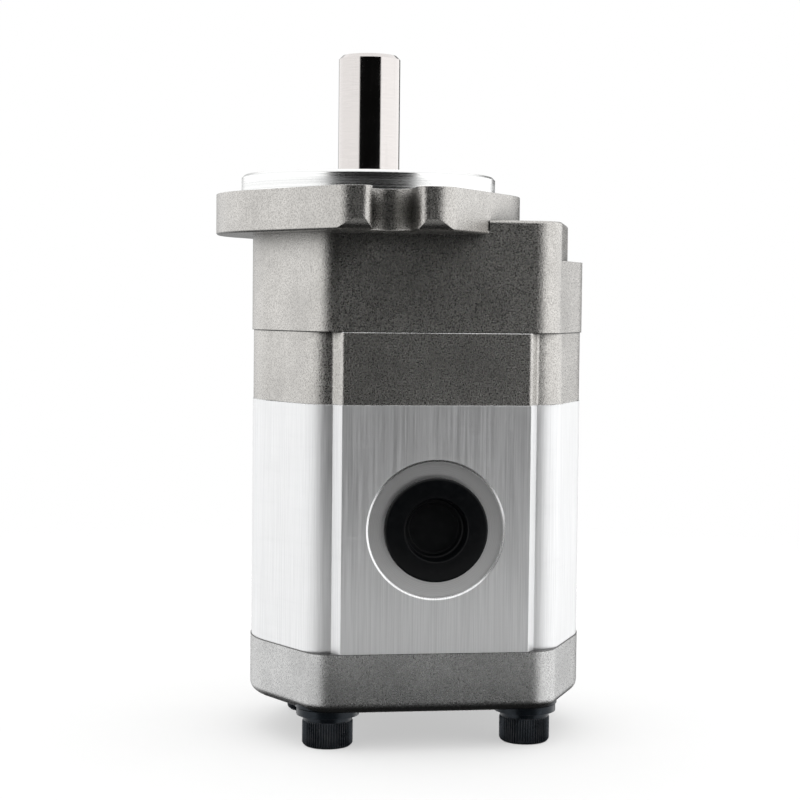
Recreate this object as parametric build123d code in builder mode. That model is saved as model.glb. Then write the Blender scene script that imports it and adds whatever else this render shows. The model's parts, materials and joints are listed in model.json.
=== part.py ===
from build123d import *
from math import acos, cos, pi, radians, sin, sqrt, tan
import os

# Hydraulic external gear pump, standing with its drive shaft up.
# The origin is on the drive shaft's axis, on the mounting face of the flange.
# +Z points out of the shaft end, +X runs from the drive gear to the driven gear,
# -Y is the inlet side and +Y is the outlet side.  All sizes are in millimetres.

# ---------------------------------------------------------------- driving dimensions

# gears
gear_module = 2.8
teeth = 12
pressure_angle = 25
backlash = 0.16
gear_width = 34
tip_clearance = 0.05

# stack of castings, measured down from the mounting face
pilot_radius = 82.55 / 2
pilot_height = 6.35
flange_thickness = 13
boss_top = -8.5
ledge_top = -20.6
cover_joint = -43.4
plate_joint = -65.8
rear_joint = -142.8
rear_face = -161.5

# mounting flange
flange_radius = 49.4
horn_radius = 8
horn_x = 12
horn_y = 57
slot_width = 13.5
slot_spacing = 106.38
slot_mouth_fillet = 3.2
flange_lower_fillet = 0.8
horn_lower_radius = 4

# plan of the blocks, measured from the body's centre
end_x = 24
end_radius = 30
corner_x = 30.8
corner_y = 31
corner_radius = 10
lug_x = 31.8
lug_y = 27.4
lug_radius = 10.5
shoulder_x = 32
shoulder_y = 37.9
pad_x = 29.5
pad_y = 41.4
boss_inset = 4.6
boss_start = 31.8
relief_width = 0.7
relief_depth = 3.5
cover_proud = 0.3
plate_inset = 0.2

# through bolts, M10 socket head cap screws
bolt_x = 31.7
bolt_y = 27
bolt_radius = 5
bolt_length = 140
head_radius = 8
head_height = 10
head_chamfer = 0.9
socket_flats = 8
socket_depth = 5
clearance_radius = 5.5
thread_gap = 0.02
threaded_top = -20.5
spotface_radius = 10.6
spotface_depth = 1.8
washer_radius = 10.3
washer_hole = 5.25
washer_thickness = 2
spring_washer_radius = 9.9
spring_washer_hole = 5.1
spring_washer_thickness = 2.2
spring_washer_gap = 1.2

# drive shaft
shaft_radius = 10
shaft_end = 45.6
shaft_chamfer = 1.2
journal_end_gap = 0.5
key_width = 6
key_height = 6
key_length = 25
key_depth = 3.5
key_centre = 27
centre_hole = 2

# bushes and bearing blocks
bush_radius = 12
bush_length = 19
bush_clearance = 0.03
block_clearance = 0.03
side_clearance = 0.05
fit_gap = 0.01
plate_bore_radius = 12

# balance seals in the outer faces of the bearing blocks
balance_path_radius = 17.6
pocket_y = 7.5
pocket_length = 9
pocket_width = 5
pocket_depth = 1
balance_width = 2
balance_seal_depth = 1.6
backup_depth = 0.8

# seals in the joints
ring_groove_depth = 1.9
ring_groove_inner = 21.4
ring_groove_outer = 23.8
joint_groove_inner = 22.2
joint_groove_outer = 24.6
seal_side_gap = 0.05

# dowels
dowel_radius = 3
dowel_reach = 7
dowel_end_gap = 0.3
dowel_chamfer = 0.5
dowel_y = 28
cover_dowel_x = 6
cover_dowel_y = 32

# outboard ball bearing, 20 x 42 x 12
bearing_outer = 21
bearing_inner = 10
bearing_width = 12
bearing_top = -10
ball_radius = 3.175
ball_pitch = 15.5
ball_count = 9
race_gap = 0.025
inner_race_land = 13.2
outer_race_land = 17.8
cage_inner = 14.5
cage_outer = 16.5
cage_height = 8.4
pocket_gap = 0.08

# retaining rings
bearing_ring_thickness = 1.75
bearing_ring_depth = 1.2
bearing_ring_reach = 3
shaft_ring_thickness = 1.2
shaft_ring_depth = 0.5
shaft_ring_reach = 2.4
seal_ring_thickness = 1.5
seal_ring_depth = 0.9
seal_ring_reach = 2.4
ring_play = 0.05
ear_radius = 1.5
ear_hole = 0.7

# shaft seal, 20 x 35 x 7
seal_radius = 17.5
seal_height = 7
seal_top = 1.7
seal_land_radius = 14
seal_bore_bottom = -5.5
case_wall = 1
case_hole = 12.6
lip_radius = 10.02
lip_edge = -2.6
spring_ring_radius = 12.75
spring_wire = 0.65

# ports on the centre lines of the two pads
inlet_spotface = 21.2
inlet_relief = 13.6
inlet_thread = 12.25
inlet_passage = 11
inlet_plug_flange = 16.2
inlet_plug_hollow = 9.8
outlet_spotface = 17
outlet_relief = 10.7
outlet_thread = 9.5
outlet_passage = 8.5
outlet_plug_flange = 13
outlet_plug_hollow = 7.2
port_spotface_depth = 1
port_relief_depth = 6
port_thread_length = 12.5
passage_length = 14
plug_flange_thickness = 2.2
plug_hub_length = 5.5
plug_hub_gap = 0.1
plug_floor = 1.2
plug_edge_fillet = 0.7

# cast edges
cast_edge = 1
rear_edge = 3.2
pad_edge = 1.6
machined_chamfer = 0.8

# ---------------------------------------------------------------- derived dimensions

pitch_radius = gear_module * teeth / 2
tip_radius = pitch_radius + gear_module
root_radius = pitch_radius - 1.25 * gear_module
base_radius = pitch_radius * cos(radians(pressure_angle))
gear_centres = 2 * pitch_radius
body_x = gear_centres / 2
gear_axes = [(0, 0), (gear_centres, 0)]
chamber_radius = tip_radius + tip_clearance

chamber_middle = (plate_joint + rear_joint) / 2
port_z = chamber_middle
gear_bottom = chamber_middle - gear_width / 2
gear_top = chamber_middle + gear_width / 2
block_length = gear_bottom - side_clearance - rear_joint - side_clearance
journal_bottom = rear_joint + journal_end_gap
journal_top = plate_joint - journal_end_gap

bolt_places = [(body_x + i * bolt_x, j * bolt_y) for i in (-1, 1) for j in (-1, 1)]
seat_z = rear_face + spotface_depth
spring_washer_z = seat_z - washer_thickness
head_z = spring_washer_z - spring_washer_thickness
bearing_bottom = bearing_top - bearing_width
bearing_middle = bearing_top - bearing_width / 2

cover_dowel_places = [(body_x - cover_dowel_x, -cover_dowel_y), (body_x + cover_dowel_x, cover_dowel_y)]
dowel_places = [(body_x, -dowel_y), (body_x, dowel_y)]
key_plane = Plane(origin=(0, shaft_radius, key_centre), x_dir=(0, 0, 1), z_dir=(0, 1, 0))

os.makedirs("parts", exist_ok=True)


# ---------------------------------------------------------------- shared shapes


def cover_outline(z, driven_end_radius):
    """Plan of a cover: the hull of two end circles and four corner circles."""
    with BuildSketch(Plane.XY.offset(z)) as outline:
        with Locations((body_x - end_x, 0)):
            Circle(end_radius + cover_proud)
        with Locations((body_x + end_x, 0)):
            Circle(driven_end_radius)
        with Locations([(body_x + i * corner_x, j * corner_y) for i in (-1, 1) for j in (-1, 1)]):
            Circle(corner_radius)
        make_hull()
    return outline.sketch


def padded_outline(z, end_r):
    """Plan of the housing: bolt lugs, sloping shoulders and a raised pad on each side."""
    with BuildSketch(Plane.XY.offset(z)) as outline:
        with Locations((body_x - end_x, 0), (body_x + end_x, 0)):
            Circle(end_r)
        with Locations([(body_x + i * lug_x, j * lug_y) for i in (-1, 1) for j in (-1, 1)]):
            Circle(lug_radius)
        with Locations((body_x, 0)):
            Rectangle(2 * shoulder_x, 2 * shoulder_y)
        make_hull()
        with BuildLine():
            Polyline(
                (body_x - pad_x, -pad_y),
                (body_x + pad_x, -pad_y),
                (body_x + shoulder_x, -shoulder_y),
                (body_x + shoulder_x, shoulder_y),
                (body_x + pad_x, pad_y),
                (body_x - pad_x, pad_y),
                (body_x - shoulder_x, shoulder_y),
                (body_x - shoulder_x, -shoulder_y),
                close=True,
            )
        make_face()
    return outline.sketch


def racetrack_ring(z, outer, inner):
    """Endless band of constant width round both gear axes."""
    with BuildSketch(Plane.XY.offset(z)) as band:
        with Locations((body_x, 0)):
            SlotCenterToCenter(gear_centres, 2 * outer)
            SlotCenterToCenter(gear_centres, 2 * inner, mode=Mode.SUBTRACT)
    return band.sketch


def balance_outline(z, width):
    """Track of a balance seal: an arc round each journal on the outlet side, meeting between them."""
    meet = 180 / pi * acos(body_x / balance_path_radius)
    with BuildSketch(Plane.XY.offset(z)) as track:
        for x, start in ((0, meet), (gear_centres, 0)):
            with BuildLine(mode=Mode.PRIVATE) as path:
                CenterArc((x, 0), balance_path_radius, start, 180 - meet)
            SlotArc(path.edge(), width)
    return track.sketch


def inner_ring_outline(z, outer, inner):
    """Retaining ring for a bore: open at +X, with two eared ends."""
    with BuildSketch(Plane.XY.offset(z)) as outline:
        Circle(outer)
        Circle(inner, mode=Mode.SUBTRACT)
        with Locations((inner, 0)):
            Rectangle(3 * ear_radius, 4 * ear_radius, mode=Mode.SUBTRACT)
        ears = [(inner, 2.4 * ear_radius), (inner, -2.4 * ear_radius)]
        with Locations(ears):
            Circle(ear_radius)
        with Locations(ears):
            Circle(ear_hole, mode=Mode.SUBTRACT)
    return outline.sketch


def outer_ring_outline(z, inner, outer):
    """Retaining ring for a shaft: open at +X, with two eared ends."""
    with BuildSketch(Plane.XY.offset(z)) as outline:
        Circle(outer)
        Circle(inner, mode=Mode.SUBTRACT)
        with Locations((inner, 0)):
            Rectangle(4 * ear_radius, 2 * ear_radius, mode=Mode.SUBTRACT)
        ears = [(outer, 2 * ear_radius), (outer, -2 * ear_radius)]
        with Locations(ears):
            Circle(ear_radius)
        with Locations(ears):
            Circle(ear_hole, mode=Mode.SUBTRACT)
    return outline.sketch


def port_plane(side, y):
    """Plane across a port's axis, y away from the gears' plane, facing out of the port."""
    return Plane(origin=(body_x, side * y, port_z), x_dir=(1, 0, 0), z_dir=(0, side, 0))


def flank(radius, side):
    """Point of a tooth's involute flank at the given radius, for a tooth that lies along +X."""
    half_pitch = pi / (2 * teeth) - backlash / (4 * pitch_radius)
    working = radians(pressure_angle)
    here = acos(base_radius / radius)
    angle = half_pitch + tan(working) - working - tan(here) + here
    return (radius * cos(angle), side * radius * sin(angle))


def gear_face(z, centre, turn):
    """Gear profile: root circle and teeth with involute flanks drawn as arcs."""
    foot = base_radius + 0.05
    middle = (foot + tip_radius) / 2
    inner = root_radius - 0.5
    half_root = flank(foot, 1)[1] * inner / flank(foot, 1)[0]
    with BuildSketch() as tooth:
        with BuildLine():
            Line((inner, -half_root), flank(foot, -1))
            ThreePointArc(flank(foot, -1), flank(middle, -1), flank(tip_radius, -1))
            ThreePointArc(flank(tip_radius, -1), (tip_radius, 0), flank(tip_radius, 1))
            ThreePointArc(flank(tip_radius, 1), flank(middle, 1), flank(foot, 1))
            Line(flank(foot, 1), (inner, half_root))
            Line((inner, half_root), (inner, -half_root))
        make_face()
    with BuildSketch() as wheel:
        Circle(root_radius)
        with PolarLocations(0, teeth, start_angle=turn):
            add(tooth.sketch)
        roots = [v for v in wheel.vertices() if abs(sqrt(v.X**2 + v.Y**2) - root_radius) < 0.05]
        fillet(roots, radius=0.6)
    with BuildSketch(Plane.XY.offset(z)) as placed:
        with Locations(centre):
            add(wheel.sketch)
    return placed.sketch


def save(builder, name):
    """Label a finished piece and write its STEP file."""
    builder.part.label = name
    export_step(builder.part, "parts/" + name + ".step")
    print(name, round(builder.part.volume, 1), "mm3")


# ---------------------------------------------------------------- front cover

with BuildPart() as flange:
    with BuildSketch(Plane.XY.offset(-flange_thickness)) as flange_plan:
        Circle(flange_radius)
        with Locations([(i * horn_x, j * horn_y) for i in (-1, 1) for j in (-1, 1)]):
            Circle(horn_radius)
        make_hull()
        # U-shaped bolt slots, open at the two tips
        with Locations((0, -slot_spacing / 2), (0, slot_spacing / 2)):
            Circle(slot_width / 2, mode=Mode.SUBTRACT)
        with Locations((0, -slot_spacing / 2 - 20), (0, slot_spacing / 2 + 20)):
            Rectangle(slot_width, 40, mode=Mode.SUBTRACT)
        tip_y = horn_y + horn_radius
        tips = [v for v in flange_plan.vertices() if abs(abs(v.Y) - tip_y) < 0.1]
        fillet([v for v in tips if abs(abs(v.X) - slot_width / 2) < 0.1], radius=slot_mouth_fillet)
    extrude(amount=flange_thickness)
    fillet(flange.faces().sort_by(Axis.Z)[0].edges(), radius=flange_lower_fillet)
    # the undersides of the tips are rounded off more than the rest
    round_y = tip_y - horn_lower_radius
    round_z = horn_lower_radius - flange_thickness
    with BuildSketch(Plane.YZ):
        with BuildLine():
            RadiusArc((round_y, -flange_thickness), (tip_y, round_z), -horn_lower_radius)
            Polyline(
                (tip_y, round_z),
                (tip_y + 1, round_z),
                (tip_y + 1, -flange_thickness - 1),
                (round_y, -flange_thickness - 1),
                (round_y, -flange_thickness),
            )
        make_face()
        mirror(about=Plane.YZ)
    extrude(amount=flange_radius, both=True, mode=Mode.SUBTRACT)

with BuildPart() as front_cover:
    # lower block, full width
    extrude(
        cover_outline(cover_joint, end_radius + cover_proud),
        amount=ledge_top - cover_joint,
    )
    # upper block, set in at the driven end so that it leaves a ledge; elsewhere the two are flush
    extrude(
        cover_outline(ledge_top, end_radius - boss_inset),
        amount=boss_top - ledge_top,
    )
    fillet(front_cover.faces().sort_by(Axis.Z)[-1].edges(), radius=cast_edge)
    # narrow relief between the boss and the flange's side wall
    with BuildSketch(Plane.XY.offset(boss_top)):
        with Locations((boss_start + relief_width / 2, 0)):
            Rectangle(relief_width, 200)
    extrude(amount=-relief_depth, mode=Mode.SUBTRACT)
    add(flange.part)
    # pilot, with the shaft seal's bore and its snap ring groove
    with BuildSketch():
        Circle(pilot_radius)
    extrude(amount=pilot_height)
    chamfer(front_cover.faces().sort_by(Axis.Z)[-1].edges(), length=machined_chamfer)
    with BuildSketch(Plane.XY.offset(seal_bore_bottom)):
        Circle(seal_radius)
    extrude(amount=pilot_height - seal_bore_bottom, mode=Mode.SUBTRACT)
    chamfer(
        front_cover.edges().filter_by(GeomType.CIRCLE).group_by(Axis.Z)[-1].sort_by(SortBy.RADIUS)[0],
        length=machined_chamfer,
    )
    with BuildSketch(Plane.XY.offset(seal_top)):
        Circle(seal_radius + seal_ring_depth)
    extrude(amount=seal_ring_thickness + ring_play, mode=Mode.SUBTRACT)
    # land between the seal and the ball bearing
    with BuildSketch(Plane.XY.offset(bearing_top)):
        Circle(seal_land_radius)
    extrude(amount=seal_bore_bottom - bearing_top, mode=Mode.SUBTRACT)
    # bearing bore, open to the joint, with its snap ring groove
    with BuildSketch(Plane.XY.offset(cover_joint)):
        Circle(bearing_outer)
    extrude(amount=bearing_top - cover_joint, mode=Mode.SUBTRACT)
    with BuildSketch(Plane.XY.offset(bearing_bottom)):
        Circle(bearing_outer + bearing_ring_depth)
    extrude(amount=-bearing_ring_thickness - ring_play, mode=Mode.SUBTRACT)
    # threaded holes for the through bolts, and dowel holes
    with BuildSketch(Plane.XY.offset(cover_joint)):
        with Locations(bolt_places):
            Circle(bolt_radius + thread_gap)
    extrude(amount=threaded_top - cover_joint, mode=Mode.SUBTRACT)
    with BuildSketch(Plane.XY.offset(cover_joint)):
        with Locations(cover_dowel_places):
            Circle(dowel_radius + fit_gap)
    extrude(amount=dowel_reach, mode=Mode.SUBTRACT)
save(front_cover, "front_cover")

# ---------------------------------------------------------------- intermediate plate

with BuildPart() as intermediate_plate:
    extrude(padded_outline(plate_joint, end_radius - plate_inset), amount=cover_joint - plate_joint)
    upright = intermediate_plate.edges().filter_by(Axis.Z)
    fillet([e for e in upright if abs(e.center().Y) > shoulder_y - 1], radius=pad_edge)
    with BuildSketch(Plane.XY.offset(plate_joint)):
        Circle(plate_bore_radius)
        with Locations(bolt_places):
            Circle(clearance_radius)
    extrude(amount=cover_joint - plate_joint, mode=Mode.SUBTRACT)
    # groove for the joint seal on the front face
    with BuildSketch(Plane.XY.offset(cover_joint)):
        Circle(joint_groove_outer)
        Circle(joint_groove_inner, mode=Mode.SUBTRACT)
    extrude(amount=-ring_groove_depth, mode=Mode.SUBTRACT)
    with BuildSketch(Plane.XY.offset(cover_joint)):
        with Locations(cover_dowel_places):
            Circle(dowel_radius + fit_gap)
    extrude(amount=-dowel_reach, mode=Mode.SUBTRACT)
    # groove for the housing seal on the rear face
    extrude(
        racetrack_ring(plate_joint, ring_groove_outer, ring_groove_inner),
        amount=ring_groove_depth,
        mode=Mode.SUBTRACT,
    )
    with BuildSketch(Plane.XY.offset(plate_joint)):
        with Locations(dowel_places):
            Circle(dowel_radius + fit_gap)
    extrude(amount=dowel_reach, mode=Mode.SUBTRACT)
save(intermediate_plate, "intermediate_plate")

# ---------------------------------------------------------------- gear housing

with BuildPart() as gear_housing:
    extrude(padded_outline(rear_joint, end_radius), amount=plate_joint - rear_joint)
    with BuildSketch(Plane.XY.offset(rear_joint)):
        with Locations(gear_axes):
            Circle(chamber_radius)
        with Locations(bolt_places):
            Circle(clearance_radius)
    extrude(amount=plate_joint - rear_joint, mode=Mode.SUBTRACT)
    for end, inward in ((rear_joint, 1), (plate_joint, -1)):
        with BuildSketch(Plane.XY.offset(end)):
            with Locations(dowel_places):
                Circle(dowel_radius + fit_gap)
        extrude(amount=inward * dowel_reach, mode=Mode.SUBTRACT)
    # each port is a spotface, a plain relief for the plug, a threaded wall and a passage
    for side, spotface, relief, thread, passage in (
        (-1, inlet_spotface, inlet_relief, inlet_thread, inlet_passage),
        (1, outlet_spotface, outlet_relief, outlet_thread, outlet_passage),
    ):
        start = pad_y
        steps = (
            (spotface, port_spotface_depth),
            (relief, port_relief_depth),
            (thread, port_thread_length),
            (passage, passage_length),
        )
        for radius, depth in steps:
            with BuildSketch(port_plane(side, start)):
                Circle(radius)
            extrude(amount=-depth, mode=Mode.SUBTRACT)
            start -= depth
save(gear_housing, "gear_housing")

# ---------------------------------------------------------------- rear cover

with BuildPart() as rear_cover:
    extrude(
        cover_outline(rear_face, end_radius + cover_proud),
        amount=rear_joint - rear_face,
    )
    fillet(rear_cover.faces().sort_by(Axis.Z)[0].edges(), radius=rear_edge)
    with BuildSketch(Plane.XY.offset(rear_face)):
        with Locations(bolt_places):
            Circle(clearance_radius)
    extrude(amount=rear_joint - rear_face, mode=Mode.SUBTRACT)
    with BuildSketch(Plane.XY.offset(rear_face)):
        with Locations(bolt_places):
            Circle(spotface_radius)
    extrude(amount=spotface_depth, mode=Mode.SUBTRACT)
    extrude(
        racetrack_ring(rear_joint, ring_groove_outer, ring_groove_inner),
        amount=-ring_groove_depth,
        mode=Mode.SUBTRACT,
    )
    with BuildSketch(Plane.XY.offset(rear_joint)):
        with Locations(dowel_places):
            Circle(dowel_radius + fit_gap)
    extrude(amount=-dowel_reach, mode=Mode.SUBTRACT)
save(rear_cover, "rear_cover")

# ---------------------------------------------------------------- gears and shafts

with BuildPart() as drive_gear_shaft:
    extrude(gear_face(gear_bottom, (0, 0), 0), amount=gear_width)
    with BuildSketch(Plane.XY.offset(journal_bottom)):
        Circle(shaft_radius)
    extrude(amount=shaft_end - journal_bottom)
    ends = drive_gear_shaft.faces().filter_by(Plane.XY).sort_by(Axis.Z)
    chamfer([ends[0].edges()[0], ends[-1].edges()[0]], length=shaft_chamfer)
    # keyway, on the outlet side
    with BuildSketch(key_plane):
        SlotOverall(key_length, key_width)
    extrude(amount=-key_depth, mode=Mode.SUBTRACT)
    # groove for the bearing's snap ring
    with BuildSketch(Plane.XY.offset(bearing_bottom)):
        Circle(shaft_radius + 1)
        Circle(shaft_radius - shaft_ring_depth, mode=Mode.SUBTRACT)
    extrude(amount=-shaft_ring_thickness - ring_play, mode=Mode.SUBTRACT)
    # lathe centre in the shaft end
    with Locations((0, 0, shaft_end)):
        CounterSinkHole(radius=centre_hole, counter_sink_radius=2 * centre_hole, depth=4 * centre_hole)
save(drive_gear_shaft, "drive_gear_shaft")

with BuildPart() as driven_gear_shaft:
    extrude(gear_face(gear_bottom, (gear_centres, 0), 180 + 180 / teeth), amount=gear_width)
    with BuildSketch(Plane.XY.offset(journal_bottom)):
        with Locations((gear_centres, 0)):
            Circle(shaft_radius)
    extrude(amount=journal_top - journal_bottom)
    ends = driven_gear_shaft.faces().filter_by(Plane.XY).sort_by(Axis.Z)
    chamfer([ends[0].edges()[0], ends[-1].edges()[0]], length=shaft_chamfer)
save(driven_gear_shaft, "driven_gear_shaft")

with BuildPart() as shaft_key:
    with BuildSketch(key_plane.offset(-key_depth)):
        SlotOverall(key_length - 2 * fit_gap, key_width - 2 * fit_gap)
    extrude(amount=key_height)
    chamfer(shaft_key.faces().sort_by(Axis.Y)[-1].edges(), length=0.3)
save(shaft_key, "shaft_key")

# ---------------------------------------------------------------- bearing blocks and bushes

block_places = (
    ("front_bearing_block", gear_top + side_clearance, 1),
    ("rear_bearing_block", gear_bottom - side_clearance, -1),
)
for block_name, inner_face, outward in block_places:
    outer_face = inner_face + outward * block_length
    with BuildPart() as bearing_block:
        with BuildSketch(Plane.XY.offset(inner_face)):
            with Locations(gear_axes):
                Circle(chamber_radius - block_clearance)
            with Locations(gear_axes):
                Circle(bush_radius + fit_gap, mode=Mode.SUBTRACT)
        extrude(amount=outward * block_length)
        # pockets beside the mesh that let trapped oil out to each port
        with BuildSketch(Plane.XY.offset(inner_face)):
            with Locations((body_x, -pocket_y), (body_x, pocket_y)):
                Rectangle(pocket_length, pocket_width)
        extrude(amount=outward * pocket_depth, mode=Mode.SUBTRACT)
        extrude(
            balance_outline(outer_face, balance_width),
            amount=-outward * (balance_seal_depth + backup_depth),
            mode=Mode.SUBTRACT,
        )
    save(bearing_block, block_name)

    side_name = block_name.split("_")[0]
    with BuildPart() as balance_seal:
        extrude(
            balance_outline(outer_face - outward * backup_depth, balance_width - 2 * seal_side_gap),
            amount=-outward * (balance_seal_depth - seal_side_gap),
        )
    save(balance_seal, side_name + "_balance_seal")
    with BuildPart() as backup_ring:
        extrude(
            balance_outline(outer_face, balance_width - 2 * seal_side_gap),
            amount=-outward * (backup_depth - seal_side_gap),
        )
    save(backup_ring, side_name + "_backup_ring")

    for shaft_name, centre in (("drive", gear_axes[0]), ("driven", gear_axes[1])):
        with BuildPart() as bush:
            with BuildSketch(Plane.XY.offset(inner_face)):
                with Locations(centre):
                    Circle(bush_radius)
                    Circle(shaft_radius + bush_clearance, mode=Mode.SUBTRACT)
            extrude(amount=outward * bush_length)
        save(bush, shaft_name + "_" + side_name + "_bush")

# ---------------------------------------------------------------- outboard ball bearing

for race_name, outer, inner in (
    ("bearing_outer_race", bearing_outer, outer_race_land),
    ("bearing_inner_race", inner_race_land, bearing_inner),
):
    with BuildPart() as race:
        with BuildSketch(Plane.XY.offset(bearing_bottom)):
            Circle(outer)
            Circle(inner, mode=Mode.SUBTRACT)
        extrude(amount=bearing_width)
        with Locations((0, 0, bearing_middle)):
            Torus(ball_pitch, ball_radius + race_gap, mode=Mode.SUBTRACT)
    save(race, race_name)

with BuildPart() as bearing_balls:
    with Locations((0, 0, bearing_middle)):
        with PolarLocations(ball_pitch, ball_count):
            Sphere(ball_radius)
save(bearing_balls, "bearing_balls")

with BuildPart() as bearing_cage:
    with BuildSketch(Plane.XY.offset(bearing_middle - cage_height / 2)):
        Circle(cage_outer)
        Circle(cage_inner, mode=Mode.SUBTRACT)
    extrude(amount=cage_height)
    with Locations((0, 0, bearing_middle)):
        with PolarLocations(ball_pitch, ball_count):
            Cylinder(ball_radius + pocket_gap, 2 * cage_height, rotation=(0, 90, 0), mode=Mode.SUBTRACT)
save(bearing_cage, "bearing_cage")

# ---------------------------------------------------------------- retaining rings

with BuildPart() as bearing_retaining_ring:
    extrude(
        inner_ring_outline(
            bearing_bottom - bearing_ring_thickness,
            bearing_outer + bearing_ring_depth - ring_play,
            bearing_outer - bearing_ring_reach,
        ),
        amount=bearing_ring_thickness,
    )
save(bearing_retaining_ring, "bearing_retaining_ring")

with BuildPart() as seal_retaining_ring:
    extrude(
        inner_ring_outline(
            seal_top + ring_play / 2,
            seal_radius + seal_ring_depth - ring_play,
            seal_radius - seal_ring_reach,
        ),
        amount=seal_ring_thickness,
    )
save(seal_retaining_ring, "seal_retaining_ring")

with BuildPart() as shaft_retaining_ring:
    extrude(
        outer_ring_outline(
            bearing_bottom - shaft_ring_thickness - ring_play / 2,
            shaft_radius - shaft_ring_depth + ring_play,
            shaft_radius + shaft_ring_reach,
        ),
        amount=shaft_ring_thickness,
    )
save(shaft_retaining_ring, "shaft_retaining_ring")

# ---------------------------------------------------------------- shaft seal

seal_bottom = seal_top - seal_height
case_inner = seal_radius - case_wall
with BuildPart() as shaft_seal_case:
    with BuildSketch(Plane.XZ):
        with BuildLine():
            Polyline(
                (seal_radius, seal_bottom),
                (seal_radius, seal_top),
                (case_hole, seal_top),
                (case_hole, seal_top - case_wall),
                (case_inner, seal_top - case_wall),
                (case_inner, seal_bottom),
                close=True,
            )
        make_face()
    revolve(axis=Axis.Z)
save(shaft_seal_case, "shaft_seal_case")

lip_top = seal_top - case_wall
with BuildPart() as shaft_seal_lip:
    with BuildSketch(Plane.XZ):
        with BuildLine():
            Polyline(
                (case_inner, lip_top),
                (shaft_radius + 1.2, lip_top),
                (shaft_radius + 1.2, lip_top - 1.2),
                (lip_radius, lip_edge),
                (shaft_radius + 1, lip_edge - 1.6),
                (spring_ring_radius, lip_edge - 1.6),
                (spring_ring_radius, lip_top - 1.6),
                (case_inner, lip_top - 1.6),
                close=True,
            )
        make_face()
    revolve(axis=Axis.Z)
    with Locations((0, 0, lip_edge)):
        Torus(spring_ring_radius, spring_wire + seal_side_gap, mode=Mode.SUBTRACT)
save(shaft_seal_lip, "shaft_seal_lip")

with BuildPart() as seal_garter_spring:
    with Locations((0, 0, lip_edge)):
        Torus(spring_ring_radius, spring_wire)
save(seal_garter_spring, "seal_garter_spring")

# ---------------------------------------------------------------- joint seals and dowels

with BuildPart() as cover_joint_seal:
    with BuildSketch(Plane.XY.offset(cover_joint)):
        Circle(joint_groove_outer - seal_side_gap)
        Circle(joint_groove_inner + seal_side_gap, mode=Mode.SUBTRACT)
    extrude(amount=-ring_groove_depth + seal_side_gap)
save(cover_joint_seal, "cover_joint_seal")

for seal_name, face, outward in (
    ("front_housing_seal", plate_joint, 1),
    ("rear_housing_seal", rear_joint, -1),
):
    with BuildPart() as housing_seal:
        extrude(
            racetrack_ring(face, ring_groove_outer - seal_side_gap, ring_groove_inner + seal_side_gap),
            amount=outward * (ring_groove_depth - seal_side_gap),
        )
    save(housing_seal, seal_name)

for dowel_name, places, joint in (
    ("cover_dowels", cover_dowel_places, cover_joint),
    ("plate_dowels", dowel_places, plate_joint),
    ("rear_dowels", dowel_places, rear_joint),
):
    with BuildPart() as dowels:
        with BuildSketch(Plane.XY.offset(joint - dowel_reach + dowel_end_gap)):
            with Locations(places):
                Circle(dowel_radius)
        extrude(amount=2 * (dowel_reach - dowel_end_gap))
        chamfer(dowels.edges().filter_by(GeomType.CIRCLE), length=dowel_chamfer)
    save(dowels, dowel_name)

# ---------------------------------------------------------------- bolts and washers

with BuildPart() as through_bolts:
    with BuildSketch(Plane.XY.offset(head_z)):
        with Locations(bolt_places):
            Circle(head_radius)
    extrude(amount=-head_height)
    chamfer(through_bolts.faces().group_by(Axis.Z)[0].edges(), length=head_chamfer)
    with BuildSketch(Plane.XY.offset(head_z - head_height)):
        with Locations(bolt_places):
            RegularPolygon(radius=socket_flats / 2, side_count=6, major_radius=False)
    extrude(amount=socket_depth, mode=Mode.SUBTRACT)
    with BuildSketch(Plane.XY.offset(head_z)):
        with Locations(bolt_places):
            Circle(bolt_radius)
    extrude(amount=bolt_length)
    chamfer(through_bolts.faces().group_by(Axis.Z)[-1].edges(), length=head_chamfer)
save(through_bolts, "through_bolts")

with BuildPart() as spring_washers:
    with BuildSketch(Plane.XY.offset(head_z)):
        with Locations(bolt_places):
            Circle(spring_washer_radius)
            Circle(spring_washer_hole, mode=Mode.SUBTRACT)
        with Locations([(x - spring_washer_radius / 2 - 2.5, y) for x, y in bolt_places]):
            Rectangle(spring_washer_radius, spring_washer_gap, mode=Mode.SUBTRACT)
    extrude(amount=spring_washer_thickness)
save(spring_washers, "spring_washers")

with BuildPart() as flat_washers:
    with BuildSketch(Plane.XY.offset(spring_washer_z)):
        with Locations(bolt_places):
            Circle(washer_radius)
            Circle(washer_hole, mode=Mode.SUBTRACT)
    extrude(amount=washer_thickness)
    chamfer(flat_washers.faces().group_by(Axis.Z)[0].edges().group_by(SortBy.RADIUS)[-1], length=0.4)
save(flat_washers, "flat_washers")

# ---------------------------------------------------------------- port plugs

for plug_name, side, flange_r, hub, hollow in (
    ("inlet_port_plug", -1, inlet_plug_flange, inlet_relief - plug_hub_gap, inlet_plug_hollow),
    ("outlet_port_plug", 1, outlet_plug_flange, outlet_relief - plug_hub_gap, outlet_plug_hollow),
):
    seat = pad_y - port_spotface_depth
    with BuildPart() as plug:
        with BuildSketch(port_plane(side, seat)):
            Circle(flange_r)
        extrude(amount=plug_flange_thickness)
        fillet(plug.faces().sort_by(Axis.Y)[0 if side < 0 else -1].edges(), radius=plug_edge_fillet)
        with BuildSketch(port_plane(side, seat)):
            Circle(hub)
        extrude(amount=-plug_hub_length)
        with BuildSketch(port_plane(side, seat - plug_hub_length + plug_floor)):
            Circle(hollow)
        extrude(amount=plug_hub_length + plug_flange_thickness, mode=Mode.SUBTRACT)
    save(plug, plug_name)
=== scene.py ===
import json
import math

import bpy
from mathutils import Matrix, Vector


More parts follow.
